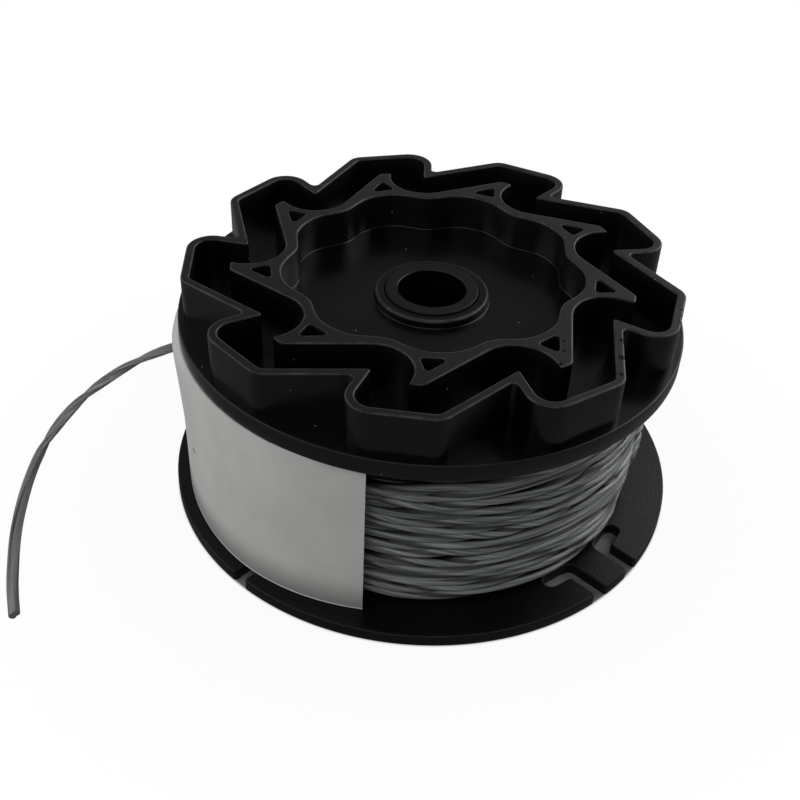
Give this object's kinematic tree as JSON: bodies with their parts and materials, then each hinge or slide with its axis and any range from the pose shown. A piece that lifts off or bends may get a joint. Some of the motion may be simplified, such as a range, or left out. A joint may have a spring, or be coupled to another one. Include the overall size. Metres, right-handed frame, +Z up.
{
  "type": "trimmer line refill spool",
  "caption": "Flanged spool wound with twisted nylon trimmer line, with a zig-zag cam track on top, a loose blank paper band and one free end of line.",
  "frame": {"origin": "on the spool's axis, at the underside of the lower flange", "axes": "+Z up along the spindle bore towards the cam track; -Y towards the front edge of the paper band; the free line lies on the -X side"},
  "size_m": [0.0989, 0.0772, 0.0362],
  "materials": {
    "upper_moulding": "black nylon moulding, satin to glossy, with thin bright edges",
    "lower_moulding": "black nylon moulding, fine matt grain",
    "line": "grey twisted nylon monofilament, satin",
    "paper": "plain white paper, matt"
  },
  "bodies": {
    "root": {"cam_plate": "upper_moulding", "spool_core": "lower_moulding", "line_core": "line", "line_winding": "line", "line_tail": "line", "paper_band": "paper"}
  },
  "joints": []
}
